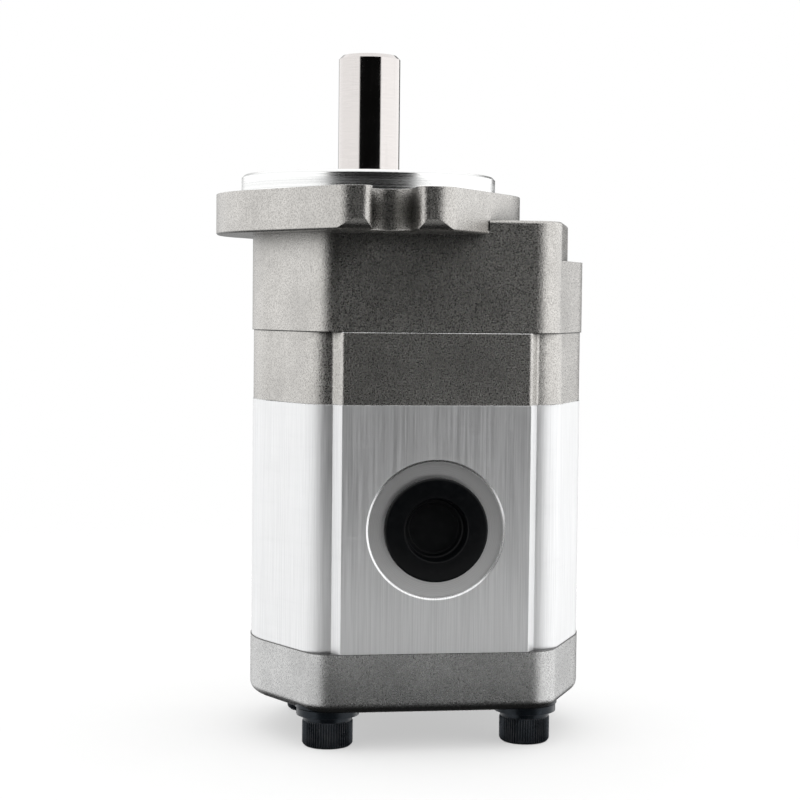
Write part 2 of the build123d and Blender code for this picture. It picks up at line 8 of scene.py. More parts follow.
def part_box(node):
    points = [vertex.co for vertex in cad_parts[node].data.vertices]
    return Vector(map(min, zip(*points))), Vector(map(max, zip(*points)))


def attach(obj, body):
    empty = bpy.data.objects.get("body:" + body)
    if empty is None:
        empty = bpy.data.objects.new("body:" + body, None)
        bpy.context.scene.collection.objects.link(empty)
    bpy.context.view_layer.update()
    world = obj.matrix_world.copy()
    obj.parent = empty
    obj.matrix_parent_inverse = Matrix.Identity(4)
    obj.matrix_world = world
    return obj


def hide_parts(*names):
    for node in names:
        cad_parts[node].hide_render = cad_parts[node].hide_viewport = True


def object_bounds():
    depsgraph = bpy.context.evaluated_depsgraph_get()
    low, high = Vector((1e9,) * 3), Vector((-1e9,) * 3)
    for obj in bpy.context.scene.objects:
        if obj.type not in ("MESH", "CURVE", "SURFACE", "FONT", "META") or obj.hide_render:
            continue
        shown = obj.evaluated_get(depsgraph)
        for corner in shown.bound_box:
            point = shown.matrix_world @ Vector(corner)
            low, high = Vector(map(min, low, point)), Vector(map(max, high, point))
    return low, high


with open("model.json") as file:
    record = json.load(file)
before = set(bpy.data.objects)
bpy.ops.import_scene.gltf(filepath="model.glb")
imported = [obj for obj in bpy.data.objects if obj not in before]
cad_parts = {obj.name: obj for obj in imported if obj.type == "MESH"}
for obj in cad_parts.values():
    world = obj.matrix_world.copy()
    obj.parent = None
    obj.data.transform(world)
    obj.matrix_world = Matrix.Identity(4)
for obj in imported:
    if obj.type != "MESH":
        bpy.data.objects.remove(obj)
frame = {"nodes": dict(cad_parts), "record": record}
cad_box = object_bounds()

# The pump stands with its drive shaft up, and the inlet port faces -Y.  Places are in metres, and
# the outlines of turned pieces are in millimetres.

MM = 0.001


# ---------------------------------------------------------------- places read from the frame

mounts = {mount["name"]: mount for mount in frame["record"]["mounts"]}
port_x = mounts["inlet_port"]["pos_m"][0]
port_z = mounts["inlet_port"]["pos_m"][2]
plate_low, plate_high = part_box("intermediate_plate")
cover_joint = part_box("front_cover")[0][2]
rear_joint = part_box("rear_cover")[1][2]
plate_pad = abs(plate_low[1])
housing_pad = abs(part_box("gear_housing")[0][1])
floor_z = cad_box[0][2]


# ---------------------------------------------------------------- camera

CAMERA_PLACE = Vector((-77.9, -607.4, -34.0)) * MM
CAMERA_YAW = math.radians(8.34)
CAMERA_PITCH = math.radians(3.01)
CAMERA_ROLL = math.radians(0.605)
CAMERA_LENS = 84.0
CAMERA_SENSOR = 36.0
CAMERA_NEAR = 0.01
CAMERA_FAR = 100.0


def make_camera():
    """Camera in front of the inlet port, a little to its left and looking slightly down."""
    forward = Vector((
        math.sin(CAMERA_YAW) * math.cos(CAMERA_PITCH),
        math.cos(CAMERA_YAW) * math.cos(CAMERA_PITCH),
        -math.sin(CAMERA_PITCH),
    ))
    level = Vector((math.cos(CAMERA_YAW), -math.sin(CAMERA_YAW), 0))
    upright = level.cross(forward)
    right = level * math.cos(CAMERA_ROLL) + upright * math.sin(CAMERA_ROLL)
    up = upright * math.cos(CAMERA_ROLL) - level * math.sin(CAMERA_ROLL)
    lens = bpy.data.cameras.new("camera")
    lens.lens = CAMERA_LENS
    lens.sensor_width = CAMERA_SENSOR
    lens.clip_start = CAMERA_NEAR
    lens.clip_end = CAMERA_FAR
    camera = bpy.data.objects.new("camera", lens)
    camera.matrix_world = Matrix((right, up, -forward)).transposed().to_4x4()
    camera.location = CAMERA_PLACE
    bpy.context.scene.collection.objects.link(camera)
    bpy.context.scene.camera = camera


# ---------------------------------------------------------------- shader building blocks

BEVEL_SAMPLES = 4
EDGE_FADE = (0.97, 0.80)


class Graph:
    """Builds one node tree: each call adds a node and returns its output."""

    def __init__(self, tree):
        self.tree = tree
        self.tree.nodes.clear()

    def put(self, socket, value):
        """Links a value that is another node's output, and stores any other value."""
        if isinstance(value, bpy.types.NodeSocket):
            self.tree.links.new(value, socket)
        else:
            socket.default_value = value

    def node(self, kind, output=0, inputs=None, **settings):
        made = self.tree.nodes.new(kind)
        for key, value in settings.items():
            setattr(made, key, value)
        for key, value in (inputs or {}).items():
            self.put(made.inputs[key], value)
        return made.outputs[output]

    def output(self, kind, shader):
        """Ends the tree in an output node of this kind."""
        self.put(self.tree.nodes.new(kind).inputs["Surface"], shader)

    def place(self):
        """Position in the object, in metres."""
        return self.node("ShaderNodeTexCoord", "Object")

    def face(self):
        """The surface's own normal."""
        return self.node("ShaderNodeNewGeometry", "Normal")

    def split(self, vector):
        made = self.tree.nodes.new("ShaderNodeSeparateXYZ")
        self.tree.links.new(vector, made.inputs[0])
        return made.outputs

    def gather(self, x=0.0, y=0.0, z=0.0):
        return self.node("ShaderNodeCombineXYZ", inputs={0: x, 1: y, 2: z})

    def calc(self, operation, a, b=0.0):
        return self.node("ShaderNodeMath", inputs={0: a, 1: b}, operation=operation)

    def plus(self, a, b):
        return self.calc("ADD", a, b)

    def minus(self, a, b):
        return self.calc("SUBTRACT", a, b)

    def times(self, a, b):
        return self.calc("MULTIPLY", a, b)

    def larger(self, a, b):
        return self.calc("MAXIMUM", a, b)

    def size(self, a):
        return self.calc("ABSOLUTE", a)

    def vector(self, operation, a, b=(0.0, 0.0, 0.0), output="Vector"):
        return self.node("ShaderNodeVectorMath", output, inputs={0: a, 1: b}, operation=operation)

    def stretch(self, vector, x, y, z):
        return self.vector("MULTIPLY", vector, (x, y, z))

    def noise(self, vector, scale, detail=2.0, rough=0.5):
        """Cloudy noise from 0 to 1; the scale is in cells per metre."""
        return self.node(
            "ShaderNodeTexNoise",
            inputs={"Vector": vector, "Scale": scale, "Detail": detail, "Roughness": rough},
        )

    def remap(self, value, low, high, to_low=0.0, to_high=1.0):
        """Smooth step: to_low where value is low, to_high where it is high."""
        return self.node(
            "ShaderNodeMapRange",
            inputs={
                "Value": value,
                "From Min": low,
                "From Max": high,
                "To Min": to_low,
                "To Max": to_high,
            },
            interpolation_type="SMOOTHSTEP",
        )

    def blend(self, share, a, b):
        """Colour a where share is 0, colour b where it is 1."""
        made = self.tree.nodes.new("ShaderNodeMix")
        made.data_type = "RGBA"
        self.put(made.inputs[0], share)
        for socket, colour in ((made.inputs[6], a), (made.inputs[7], b)):
            self.put(socket, (*colour, 1.0) if isinstance(colour, tuple) else colour)
        return made.outputs[2]

    def mix(self, share, a, b):
        """Number a where share is 0, number b where it is 1."""
        made = self.tree.nodes.new("ShaderNodeMix")
        for socket, value in ((made.inputs[0], share), (made.inputs[2], a), (made.inputs[3], b)):
            self.put(socket, value)
        return made.outputs[0]

    def near(self, value, centre, half_width, soft):
        """1 where value is within half_width of centre."""
        return self.remap(self.size(self.minus(value, centre)), half_width + soft, half_width)

    def radius(self, a, b, a_centre=0.0, b_centre=0.0):
        """Distance from an axis, given the two coordinates across it."""
        a = self.minus(a, a_centre)
        b = self.minus(b, b_centre)
        return self.calc("SQRT", self.plus(self.times(a, a), self.times(b, b)))

    def bump(self, height, depth, strength, normal):
        return self.node(
            "ShaderNodeBump",
            inputs={"Height": height, "Distance": depth, "Strength": strength, "Normal": normal},
        )

    def rounded(self, radius):
        """Normal that rounds sharp edges off by this radius."""
        return self.node("ShaderNodeBevel", inputs={"Radius": radius}, samples=BEVEL_SAMPLES)

    def edges(self, radius):
        """1 along sharp edges, 0 on the faces."""
        return self.remap(self.vector("DOT_PRODUCT", self.rounded(radius), self.face(), "Value"), *EDGE_FADE)

    def surface(self, colour, metal, rough, normal, specular=0.5, **inputs):
        inputs.update({
            "Base Color": colour,
            "Metallic": metal,
            "Roughness": rough,
            "Normal": normal,
            "Specular IOR Level": specular,
        })
        self.output("ShaderNodeOutputMaterial", self.node("ShaderNodeBsdfPrincipled", inputs=inputs))


def new_graph(name):
    material = bpy.data.materials.new(name)
    material.use_nodes = True
    return material, Graph(material.node_tree)


# ---------------------------------------------------------------- studio


def soft_edge(middle, soft):
    """Where one light starts to turn into the next and where it has, from degrees to radians."""
    return math.radians(middle - soft), math.radians(middle + soft)


# Strength of each part of the light tent, then where the parts meet.  Edges and centres are
# azimuths measured from the middle of the dark front, FRONT_CENTRE, and tops are elevations.

TENT_LIGHT = 1.26
RIGHT_GAIN = 1.15
FRONT_LIGHT = 0.004
BACK_LIGHT = 0.60
STRIP_LIGHT = 0.10
LOW_FRONT_LIGHT = 0.03
UNDER_LIGHT = 0.05
FRONT_CENTRE = math.radians(4)
FRONT_EDGE = soft_edge(40, 2.292)
FRONT_TOP = soft_edge(27, 5.73)
RIGHT_EDGE = soft_edge(0, -11.459)
BACK_EDGE = soft_edge(157.995, 4.87)
STRIP_CENTRE = math.radians(-156)
STRIP_EDGE = soft_edge(10.432, -1.432)
LOW_FRONT_TOP = soft_edge(-1, -3.438)
LOW_FRONT_EDGE = soft_edge(34, -11.459)
UNDER_TOP = soft_edge(-27, -5.73)

# The floor fades between two radii.  The card is the patch of it that the pump mirrors.

FLOOR_SEGMENTS = 96
FLOOR_SOLID = 0.07
FLOOR_FADED = 0.60
FLOOR_VEIL = 0.5
CARD_NEAR = (-0.12, -0.16)
CARD_FAR = (-0.29, -0.23)
CARD_SIDE = (0.36, 0.26)


def make_world():
    """A white light tent, open and dark on the side that the inlet port faces, dim below and behind."""
    world = bpy.data.worlds.new("studio")
    world.use_nodes = True
    bpy.context.scene.world = world
    graph = Graph(world.node_tree)
    x, y, z = graph.split(graph.node("ShaderNodeTexCoord", "Generated"))
    front_x = -math.sin(FRONT_CENTRE)
    front_y = -math.cos(FRONT_CENTRE)
    ahead = graph.plus(graph.times(x, front_x), graph.times(y, front_y))
    aside = graph.minus(graph.times(x, front_y), graph.times(y, front_x))
    turn = graph.calc("ARCTAN2", aside, ahead)
    azimuth = graph.size(turn)
    elevation = graph.calc("ARCSINE", z)
    sides = graph.remap(turn, *RIGHT_EDGE, TENT_LIGHT, TENT_LIGHT * RIGHT_GAIN)
    low = graph.times(graph.remap(elevation, *LOW_FRONT_TOP), graph.remap(azimuth, *LOW_FRONT_EDGE))
    strip = graph.remap(graph.size(graph.minus(turn, STRIP_CENTRE)), *STRIP_EDGE)
    light = graph.mix(graph.remap(azimuth, *FRONT_EDGE), FRONT_LIGHT, sides)
    light = graph.mix(low, light, LOW_FRONT_LIGHT)
    light = graph.mix(graph.remap(azimuth, *BACK_EDGE), light, BACK_LIGHT)
    light = graph.mix(strip, light, STRIP_LIGHT)
    light = graph.mix(graph.remap(elevation, *FRONT_TOP), light, TENT_LIGHT)
    light = graph.mix(graph.remap(elevation, *UNDER_TOP), light, UNDER_LIGHT)
    seen = graph.node("ShaderNodeLightPath", "Is Camera Ray")
    strength = graph.mix(seen, light, 1.0)
    background = graph.node("ShaderNodeBackground", inputs={"Color": (1, 1, 1, 1), "Strength": strength})
    graph.output("ShaderNodeOutputWorld", background)


def make_floor():
    """Pale round floor that fades into the white background and is mirrored only as a card in front."""
    bpy.ops.mesh.primitive_circle_add(
        vertices=FLOOR_SEGMENTS, radius=FLOOR_FADED, fill_type="NGON", location=(0, 0, floor_z)
    )
    floor = bpy.context.object
    floor.name = "floor"
    material, graph = new_graph("floor_pale")
    place = graph.place()
    x, y = graph.split(place)[:2]
    tint = graph.blend(graph.noise(place, 40, 3), (0.93, 0.93, 0.93), (0.95, 0.95, 0.945))
    distance = graph.vector("LENGTH", place, output="Value")
    fade = graph.remap(distance, FLOOR_SOLID, FLOOR_FADED, FLOOR_VEIL, 1.0)
    card = graph.times(graph.remap(y, *CARD_NEAR), graph.remap(y, *CARD_FAR))
    card = graph.times(card, graph.remap(graph.size(x), *CARD_SIDE))
    seen = graph.node("ShaderNodeLightPath", "Is Camera Ray")
    clear = graph.mix(seen, graph.minus(1.0, card), fade)
    solid = graph.node("ShaderNodeBsdfDiffuse", inputs={"Color": tint})
    empty = graph.node("ShaderNodeBsdfTransparent")
    shown = graph.node("ShaderNodeMixShader", inputs={0: clear, 1: solid, 2: empty})
    graph.output("ShaderNodeOutputMaterial", shown)
    floor.data.materials.append(material)


# ---------------------------------------------------------------- materials

# Each casting has a dark and a pale colour.  Line widths are half widths on each side of a joint.

WARM_CASTING = ((0.33, 0.320, 0.306), (0.64, 0.624, 0.598))
GREY_CASTING = ((0.32, 0.32, 0.32), (0.61, 0.61, 0.605))
CASTING_PAD_STEP = 0.0004
JOINT_LINE = 0.0001
JOINT_LINE_SOFT = 0.00008
# painted shade: half width of the dark line painted along joints where the next part overhangs
JOINT_SHADE_LINE = 0.00012
TURNED_EDGE = 0.00004
# painted shade: reach and samples of the ambient occlusion that darkens the castings' colour in corners and
# under overhangs
SHADE_REACH = 0.016
SHADE_SAMPLES = 8

# Spotface radii, and depths below the housing's pad that tell its face from the spotface's floor.

INLET_SPOTFACE = 21.2 * MM
OUTLET_SPOTFACE = 17.0 * MM
SPOTFACE_MARGIN = (0.0001, 0.00005)
SPOTFACE_DEPTH = 0.0009
RIM_DEPTH = 0.0006
RIM_WIDTH = 0.0003
RIM_SOFT = 0.0001
RIM_TILT = 0.5
TOOL_MARKS = 26000


def cast_aluminium(name, tints, bright_joints=(), shaded_joints=(), turned_above=None):
    """Blasted casting: sandy grain, bright joint lines and dark ones of painted shade, turned ends, and
    painted shade in the corners and on faces that look down.
    """
    dark, pale = tints
    material, graph = new_graph(name)
    place = graph.place()
    x, y, z = graph.split(place)
    sand = graph.noise(place, 2700, 2, 0.6)
    dust = graph.noise(place, 2200, 2, 0.7)
    cloud = graph.noise(place, 55, 4, 0.55)
    patches = graph.noise(place, 330, 3, 0.6)
    rings = graph.noise(graph.gather(graph.radius(x, y), z=z), 1500, 3, 0.75)

    # where the casting is machined instead of blasted, and where a dark line of painted shade runs along a
    # joint
    proud = graph.calc("GREATER_THAN", graph.size(y), plate_pad - CASTING_PAD_STEP)
    machined = 0.0
    joint_shade = 0.0
    for level in bright_joints:
        machined = graph.larger(machined, graph.near(z, level, JOINT_LINE, JOINT_LINE_SOFT))
    for level in shaded_joints:
        line = graph.near(z, level, JOINT_SHADE_LINE, JOINT_SHADE_LINE)
        machined = graph.larger(machined, graph.times(line, proud))
        joint_shade = graph.larger(joint_shade, graph.times(line, graph.minus(1.0, proud)))
    if turned_above is not None:
        machined = graph.larger(machined, graph.remap(z, turned_above - TURNED_EDGE, turned_above))

    # painted shade: the colour is darkened where little sky is seen, and on faces that look down, where less
    # light falls
    sky = graph.node(
        "ShaderNodeAmbientOcclusion", "AO", inputs={"Distance": SHADE_REACH}, samples=SHADE_SAMPLES
    )
    upward = graph.split(graph.node("ShaderNodeTexCoord", "Normal"))[2]
    painted_shade = graph.larger(graph.remap(sky, 0.88, 0.32), graph.remap(upward, -0.1, -0.5, 0.0, 0.85))
    painted_shade = graph.times(painted_shade, graph.minus(1.0, machined))

    colour = graph.blend(graph.remap(dust, 0.30, 0.70), dark, pale)
    colour = graph.blend(graph.remap(cloud, 0.35, 0.7, 0.0, 0.35), colour, tuple(0.85 * c for c in dark))
    colour = graph.blend(graph.remap(patches, 0.55, 0.75, 0.0, 0.25), colour, pale)
    worn = graph.times(graph.edges(0.0004), graph.remap(sand, 0.35, 0.6))
    colour = graph.blend(graph.times(worn, 0.5), colour, (0.82, 0.81, 0.79))
    turned = graph.blend(graph.remap(rings, 0.35, 0.65), (0.93, 0.93, 0.92), (0.66, 0.67, 0.67))
    colour = graph.blend(machined, colour, turned)
    # painted shade: a dark line along the joint, where the part above overhangs
    colour = graph.blend(graph.times(joint_shade, 0.85), colour, (0.02, 0.02, 0.02))
    # painted shade: the colour goes nearly black in corners, under overhangs and on faces that look down
    colour = graph.blend(graph.times(painted_shade, 0.9), colour, (0.05, 0.05, 0.048))
    blasted_rough = graph.remap(dust, 0.2, 0.8, 0.19, 0.38)
    turned_rough = graph.remap(rings, 0.3, 0.7, 0.11, 0.33)
    rough = graph.mix(machined, blasted_rough, turned_rough)
    height = graph.mix(machined, sand, graph.times(rings, 0.04))
    normal = graph.bump(height, 0.00013, 0.75, graph.rounded(0.0003))
    graph.surface(colour, 1.0, rough, normal, Anisotropic=graph.times(machined, 0.7), Tangent=(0.0, 0.0, 1.0))
    return material


def rim_tilt(graph, x, z, across, chamfer):
    """Sideways part of the normal on the chamfer round a port's spotface, pointing at the port's axis."""
    inward = graph.calc("DIVIDE", graph.times(chamfer, -RIM_TILT), across)
    return graph.gather(
        graph.times(graph.minus(x, port_x), inward), 0.0, graph.times(graph.minus(z, port_z), inward)
    )


def extruded_aluminium():
    """Extruded and brushed along the length, with turned spotfaces round the ports."""
    material, graph = new_graph("extruded_aluminium_brushed")
    place = graph.place()
    x, y, z = graph.split(place)
    lines = graph.noise(graph.stretch(place, 1.0, 1.0, 0.012), 2600, 3, 0.7)
    broad = graph.noise(graph.stretch(place, 1.0, 1.0, 0.03), 260, 3, 0.6)
    handling = graph.noise(graph.stretch(place, 0.05, 0.05, 1.0), 900, 2, 0.6)
    cloud = graph.noise(place, 60, 3)
    across = graph.radius(x, z, port_x, port_z)
    rings = graph.noise(graph.gather(across), 4000, 2)
    tool_marks = graph.calc("SINE", graph.times(across, TOOL_MARKS))

    # the floor of each spotface, and the chamfer round it
    deep = graph.calc("LESS_THAN", graph.size(y), housing_pad - SPOTFACE_DEPTH)
    inside = graph.remap(across, *(INLET_SPOTFACE + margin for margin in SPOTFACE_MARGIN))
    spotface = graph.times(inside, deep)
    proud = graph.calc("GREATER_THAN", graph.size(y), housing_pad - RIM_DEPTH)
    rim = graph.mix(graph.calc("LESS_THAN", y, 0.0), OUTLET_SPOTFACE, INLET_SPOTFACE)
    beside_rim = graph.near(graph.minus(across, rim), RIM_WIDTH, RIM_WIDTH, RIM_SOFT)
    chamfer = graph.times(proud, beside_rim)

    colour = graph.blend(graph.remap(lines, 0.3, 0.7), (0.71, 0.715, 0.72), (0.84, 0.845, 0.85))
    colour = graph.blend(graph.remap(broad, 0.4, 0.7, 0.0, 0.15), colour, (0.80, 0.80, 0.80))
    colour = graph.blend(graph.remap(cloud, 0.4, 0.7, 0.0, 0.15), colour, (0.72, 0.72, 0.72))
    turned = graph.blend(graph.remap(rings, 0.3, 0.7), (0.70, 0.70, 0.70), (0.84, 0.84, 0.84))
    colour = graph.blend(spotface, colour, turned)
    colour = graph.blend(graph.times(graph.edges(0.0003), 0.5), colour, (0.95, 0.95, 0.95))
    rough = graph.plus(graph.remap(lines, 0.2, 0.8, 0.40, 0.50), graph.remap(handling, 0.5, 0.8, 0.0, 0.05))
    rough = graph.mix(spotface, rough, 0.36)
    rough = graph.mix(chamfer, rough, 0.25)
    brushed_height = graph.plus(lines, graph.times(broad, 0.2))
    turned_height = graph.plus(graph.times(tool_marks, 0.12), rings)
    height = graph.mix(spotface, brushed_height, turned_height)
    normal = graph.bump(height, 0.00006, 0.28, graph.rounded(0.00025))
    normal = graph.vector("ADD", normal, rim_tilt(graph, x, z, across, chamfer))
    normal = graph.vector("NORMALIZE", normal)
    level = graph.vector("CROSS_PRODUCT", (0.0, 0.0, 1.0), graph.face())
    graph.surface(colour, 1.0, rough, normal, Anisotropic=graph.mix(spotface, 0.45, 0.0), Tangent=level)
    return material


def ground_steel(name, tint, rough):
    """Cylindrical grinding: fine rings round the axis, with faint lengthwise streaks."""
    material, graph = new_graph(name)
    place = graph.place()
    rings = graph.noise(graph.stretch(place, 0.02, 0.02, 1.0), 9000, 2, 0.7)
    streaks = graph.noise(graph.stretch(place, 1.0, 1.0, 0.05), 700, 3, 0.6)
    smudge = graph.noise(place, 90, 4, 0.6)
    colour = graph.blend(graph.remap(rings, 0.35, 0.65), tuple(0.94 * c for c in tint), tint)
    colour = graph.blend(graph.remap(streaks, 0.5, 0.75, 0.0, 0.2), colour, tuple(0.8 * c for c in tint))
    smudged = graph.remap(smudge, 0.35, 0.75, rough, rough * 1.6)
    streaked = graph.remap(streaks, 0.4, 0.8, 0.0, 0.04)
    normal = graph.bump(rings, 0.00001, 0.1, graph.rounded(0.0002))
    graph.surface(colour, 1.0, graph.plus(smudged, streaked), normal)
    return material


def plain_metal(name, tint, rough, depth=0.00002):
    """Small machined or drawn metal part."""
    material, graph = new_graph(name)
    place = graph.place()
    grains = graph.noise(place, 1800, 3, 0.6)
    smudge = graph.noise(place, 150, 3, 0.6)
    worn = tuple(min(1.0, 1.3 * c) for c in tint)
    colour = graph.blend(graph.remap(grains, 0.3, 0.7), tuple(0.82 * c for c in tint), tint)
    colour = graph.blend(graph.times(graph.edges(0.0002), 0.4), colour, worn)
    roughness = graph.remap(smudge, 0.3, 0.8, rough, rough * 1.35)
    normal = graph.bump(grains, depth, 0.4, graph.rounded(0.00015))
    graph.surface(colour, 1.0, roughness, normal)
    return material


def black_oxide():
    """Oiled blue-black finish on steel, rubbed brighter along the edges."""
    material, graph = new_graph("black_oxide_steel")
    place = graph.place()
    grains = graph.noise(place, 2400, 3, 0.6)
    oil = graph.noise(place, 240, 4, 0.6)
    worn = graph.times(graph.edges(0.00025), graph.remap(oil, 0.35, 0.65, 0.2, 0.8))
    colour = graph.blend(graph.remap(grains, 0.3, 0.7), (0.004, 0.007, 0.011), (0.012, 0.018, 0.025))
    colour = graph.blend(graph.remap(oil, 0.55, 0.8, 0.0, 0.4), colour, (0.05, 0.052, 0.055))
    colour = graph.blend(worn, colour, (0.20, 0.20, 0.21))
    rough = graph.remap(oil, 0.3, 0.8, 0.26, 0.42)
    normal = graph.bump(grains, 0.00003, 0.35, graph.rounded(0.0002))
    graph.surface(colour, 0.55, rough, normal, specular=0.4)
    return material


def moulded(name, tint, rough):
    """Moulded plastic or rubber with a faint mould texture."""
    material, graph = new_graph(name)
    place = graph.place()
    grains = graph.noise(place, 1600, 3, 0.6)
    dust = graph.noise(place, 420, 4, 0.65)
    lighter = tuple(min(1.0, 1.5 * c + 0.004) for c in tint)
    colour = graph.blend(graph.remap(dust, 0.5, 0.8, 0.0, 0.5), tint, lighter)
    roughness = graph.remap(dust, 0.3, 0.7, rough, rough + 0.1)
    normal = graph.bump(grains, 0.00004, 0.3, graph.rounded(0.0003))
    graph.surface(colour, 0.0, roughness, normal, specular=0.17)
    return material


def give(material, *names):
    """Puts a material on whole CAD nodes."""
    for name in names:
        slots = frame["nodes"][name].data.materials
        slots.clear()
        slots.append(material)


def dress_nodes():
    give(
        cast_aluminium("cast_front_cover", WARM_CASTING, shaded_joints=(cover_joint,), turned_above=0.0),
        "front_cover",
    )
    give(
        cast_aluminium(
            "cast_plate", WARM_CASTING, bright_joints=(plate_low[2],), shaded_joints=(plate_high[2],)
        ),
        "intermediate_plate",
    )
    give(cast_aluminium("cast_rear_cover", GREY_CASTING, shaded_joints=(rear_joint,)), "rear_cover")
    give(extruded_aluminium(), "gear_housing")
    give(
        ground_steel("ground_shaft_steel", (0.63, 0.60, 0.585), 0.07),
        "drive_gear_shaft", "driven_gear_shaft",
    )
    give(plain_metal("key_steel", (0.52, 0.52, 0.52), 0.32), "shaft_key")
    give(
        plain_metal("block_aluminium", (0.72, 0.72, 0.73), 0.35),
        "front_bearing_block", "rear_bearing_block",
    )
    give(
        plain_metal("bush_bronze", (0.62, 0.42, 0.24), 0.34),
        "drive_front_bush", "driven_front_bush", "drive_rear_bush", "driven_rear_bush",
    )
    give(
        plain_metal("bearing_steel", (0.75, 0.75, 0.76), 0.14, depth=0.00001),
        "bearing_outer_race", "bearing_inner_race", "bearing_balls",
    )
    give(plain_metal("cage_steel", (0.60, 0.58, 0.55), 0.30), "bearing_cage")
    give(
        plain_metal("phosphated_spring_steel", (0.13, 0.13, 0.135), 0.42),
        "bearing_retaining_ring", "seal_retaining_ring", "shaft_retaining_ring", "seal_garter_spring",
    )
    give(plain_metal("seal_case_steel", (0.34, 0.34, 0.35), 0.38), "shaft_seal_case")
    give(
        moulded("nitrile_rubber", (0.018, 0.018, 0.018), 0.48),
        "shaft_seal_lip", "cover_joint_seal", "front_housing_seal", "rear_housing_seal",
        "front_balance_seal", "rear_balance_seal",
    )
    give(moulded("backup_polyamide", (0.78, 0.74, 0.62), 0.42), "front_backup_ring", "rear_backup_ring")
    give(plain_metal("dowel_steel", (0.62, 0.62, 0.62), 0.20), "cover_dowels", "plate_dowels", "rear_dowels")
    give(black_oxide(), "spring_washers", "flat_washers")


# ---------------------------------------------------------------- turned pieces


def even(radius):
    """Ring profile of one radius all round."""
    return lambda angle: radius


def hexagon(flats):
    """Ring profile of a hexagon, given the distance across its flats."""
    return lambda angle: flats / 2 / math.cos((angle + math.pi / 6) % (math.pi / 3) - math.pi / 6)


def knurl(radius, depth, count):
    """Ring profile with straight ridges."""
    return lambda angle: radius - depth * (0.5 - 0.5 * math.cos(count * angle))


def thread(radius, depth, pitch, height):
    """Ring profile that, at this height, cuts through a helical thread."""
    def profile(angle):
        turn = (height / pitch - angle / math.tau) % 1.0
        return radius - depth * abs(2 * turn - 1)
    return profile


def with_segments(outline, segments):
    """Rings of an outline (profile, height), all with the same number of segments."""
    return [(profile, height, segments) for profile, height in outline]


def share_of_ring(start, count, step, steps):
    """Point numbers along one of a ring's equal shares, both ends included."""
    return [start + k % count for k in range(step * count // steps, (step + 1) * count // steps + 1)]


def turned_mesh(name, rings):
    """Closed solid of rings (profile, height, segments), capped by a point at each end."""
    points = []
    faces = []
    starts = []
    for profile, height, segments in rings:
        starts.append(len(points))
        for step in range(segments):
            angle = math.tau * step / segments
            radius = profile(angle)
            points.append((radius * math.cos(angle), radius * math.sin(angle), height))
    for index in range(len(rings) - 1):
        first, second = starts[index], starts[index + 1]
        count, next_count = rings[index][2], rings[index + 1][2]
        coarse = min(count, next_count)
        for step in range(coarse):
            lower = share_of_ring(first, count, step, coarse)
            upper = share_of_ring(second, next_count, step, coarse)
            faces.append(lower + upper[::-1])
    for index, flip in ((0, True), (len(rings) - 1, False)):
        centre = len(points)
        points.append((0.0, 0.0, rings[index][1]))
        count = rings[index][2]
        for step in range(count):
            pair = [starts[index] + step, starts[index] + (step + 1) % count]
            faces.append([centre] + (pair[::-1] if flip else pair))
    mesh = bpy.data.meshes.new(name)
    mesh.from_pydata([Vector(point) * MM for point in points], [], faces)
    mesh.update()
    return mesh


def joined(name, mesh, places):
    """One mesh holding a copy of a mesh at each place."""
    points = []
    faces = []
    for place in places:
        offset = len(points)
        points += [place @ vertex.co for vertex in mesh.vertices]
        faces += [[offset + k for k in face.vertices] for face in mesh.polygons]
    whole = bpy.data.meshes.new(name)
    whole.from_pydata(points, [], faces)
    whole.update()
    return whole


SMOOTH_ANGLE = math.radians(35)


def add_piece(name, mesh, material, node, body):
    """Puts a new piece in the scene in place of a CAD node."""
    mesh.shade_smooth()
    mesh.set_sharp_from_angle(angle=SMOOTH_ANGLE)
    mesh.materials.append(material)
    piece = bpy.data.objects.new(name, mesh)
    bpy.context.scene.collection.objects.link(piece)
    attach(piece, body)
    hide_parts(node)


# ---------------------------------------------------------------- through bolts

HEAD_RADIUS = 8.0
HEAD_HEIGHT = 10.0
HEAD_SEGMENTS = 360
RIDGES = 60
RIDGE_DEPTH = 0.42
COLLAR_RADIUS = 7.8
SOCKET_FLATS = 8.0
SOCKET_DEPTH = 5.0
SHANK_RADIUS = 5.0
SHANK_SEGMENTS = 60
THREAD_PITCH = 1.5
THREAD_DEPTH = 0.9
THREAD_LENGTH = 26.0
RINGS_PER_PITCH = 6


def screw_head():
    """From the socket's floor out over the knurled side to the plain collar under the head."""
    ridges = knurl(HEAD_RADIUS, RIDGE_DEPTH, RIDGES)
    return with_segments([
        (hexagon(SOCKET_FLATS), SOCKET_DEPTH),
        (hexagon(SOCKET_FLATS), 0.45),
        (even(SOCKET_FLATS / 2 + 0.85), 0.0),
        (even(HEAD_RADIUS - 1.2), 0.0),
        (even(HEAD_RADIUS - 0.85), 0.1),
        (knurl(HEAD_RADIUS - 0.25, RIDGE_DEPTH / 2, RIDGES), 0.6),
        (ridges, 1.1),
        (ridges, HEAD_HEIGHT - 2.2),
        (even(COLLAR_RADIUS - 0.15), HEAD_HEIGHT - 1.75),
        (even(COLLAR_RADIUS), HEAD_HEIGHT - 1.6),
        (even(COLLAR_RADIUS), HEAD_HEIGHT - 0.35),
        (even(COLLAR_RADIUS - 0.3), HEAD_HEIGHT),
    ], HEAD_SEGMENTS)


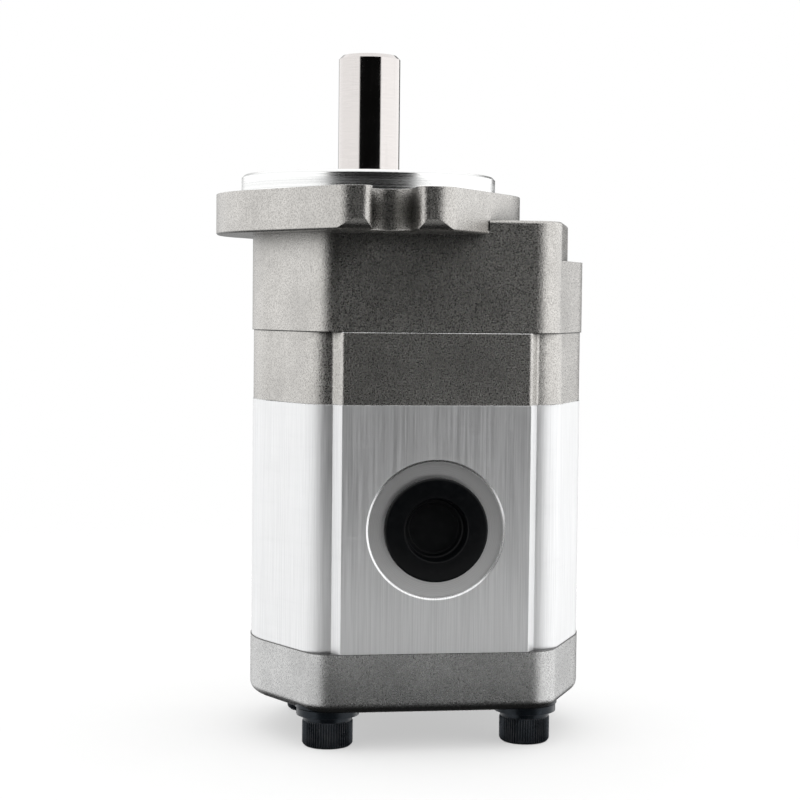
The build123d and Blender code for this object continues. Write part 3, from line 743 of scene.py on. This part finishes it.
def screw_shank(length):
    """Plain shank with a small fillet under the head, then a rolled thread that runs in and out."""
    thread_start = length - THREAD_LENGTH
    outline = [
        (even(SHANK_RADIUS + 0.4), HEAD_HEIGHT),
        (even(SHANK_RADIUS), HEAD_HEIGHT + 0.4),
        (even(SHANK_RADIUS), thread_start),
    ]
    steps = int(THREAD_LENGTH / THREAD_PITCH) * RINGS_PER_PITCH
    for step in range(1, steps):
        height = thread_start + step * THREAD_PITCH / RINGS_PER_PITCH
        run_in = min(1.0, step / RINGS_PER_PITCH, (steps - step) / RINGS_PER_PITCH)
        outline.append((thread(SHANK_RADIUS, THREAD_DEPTH * run_in, THREAD_PITCH, height), height))
    outline.append((even(SHANK_RADIUS - 1.0), length))
    return with_segments(outline, SHANK_SEGMENTS)


def make_bolts():
    """Four socket head screws, heads down, in one piece."""
    low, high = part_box("through_bolts")
    screw = turned_mesh("screw", screw_head() + screw_shank((high[2] - low[2]) / MM))
    inset = HEAD_RADIUS * MM
    places = [
        Matrix.Translation((x, y, low[2]))
        for x in (low[0] + inset, high[0] - inset)
        for y in (low[1] + inset, high[1] - inset)
    ]
    mesh = joined("knurled_screws", screw, places)
    add_piece("knurled_screws", mesh, black_oxide(), "through_bolts", "casing")


# ---------------------------------------------------------------- port plugs

PLUG_SEGMENTS = 144
PLUG_FLANGE = 2.2
PLUG_FLOOR = 1.2
RIBS = 3
RIB_SPACING = 1.2
RIB_TAPER = 0.8
RIB_HEIGHT = 0.5


def plug_outline(depth, flange_radius, hub_radius, hollow_radius):
    """From the stepped hollow out over the rolled rim of the flange and back along the ribbed hub."""
    flange_back = depth - PLUG_FLANGE
    outline = [
        (hollow_radius - 2.2, PLUG_FLOOR),
        (hollow_radius - 1.9, PLUG_FLOOR + 0.5),
        (hollow_radius - 0.9, PLUG_FLOOR + 0.5),
        (hollow_radius - 0.45, PLUG_FLOOR + 0.9),
        (hollow_radius - 0.1, depth - 0.5),
        (hollow_radius + 0.02, depth - 0.2),
        (hollow_radius + 0.3, depth),
        (flange_radius - 0.8, depth),
        (flange_radius - 0.4, depth - 0.08),
        (flange_radius - 0.1, depth - 0.3),
        (flange_radius, depth - 0.7),
        (flange_radius, flange_back + 0.2),
        (flange_radius - 0.2, flange_back),
        (hub_radius - 0.3, flange_back),
        (hub_radius - RIB_HEIGHT, flange_back - 0.4),
    ]
    for rib in range(RIBS):
        height = flange_back - 1.0 - RIB_SPACING * rib
        outline.append((hub_radius, height))
        outline.append((hub_radius - RIB_HEIGHT, height - RIB_TAPER))
    outline.append((hub_radius - 0.9, 0.0))
    return [(even(radius), height) for radius, height in outline]


def make_plug(side, node, body, port, hub_margin, wall):
    """Push-in plug of the -Y side (-1) or the +Y side (1).  Its hub fills the relief outside the thread."""
    low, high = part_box(node)
    inner, outer = sorted((abs(low[1]), abs(high[1])))
    flange_radius = (high[0] - low[0]) / 2 / MM
    hub_radius = mounts[port]["dims"]["r_mm"] + hub_margin
    outline = plug_outline((outer - inner) / MM, flange_radius, hub_radius, flange_radius - wall)
    name = node + "_moulded"
    turn = Matrix.Rotation(math.radians(-90 * side), 4, "X")
    middle = (low + high) / 2
    place = Matrix.Translation((middle[0], side * inner, middle[2])) @ turn
    mesh = joined(name, turned_mesh(name, with_segments(outline, PLUG_SEGMENTS)), [place])
    add_piece(name, mesh, moulded("plug_plastic", (0.001, 0.0014, 0.002), 0.30), node, body)


# ---------------------------------------------------------------- making

make_camera()
make_world()
make_floor()
dress_nodes()
make_bolts()
make_plug(-1, "inlet_port_plug", "inlet_plug", "inlet_port", 1.25, 6.4)
make_plug(1, "outlet_port_plug", "outlet_plug", "outlet_port", 1.1, 5.8)
bpy.context.scene.view_settings.view_transform = "Standard"
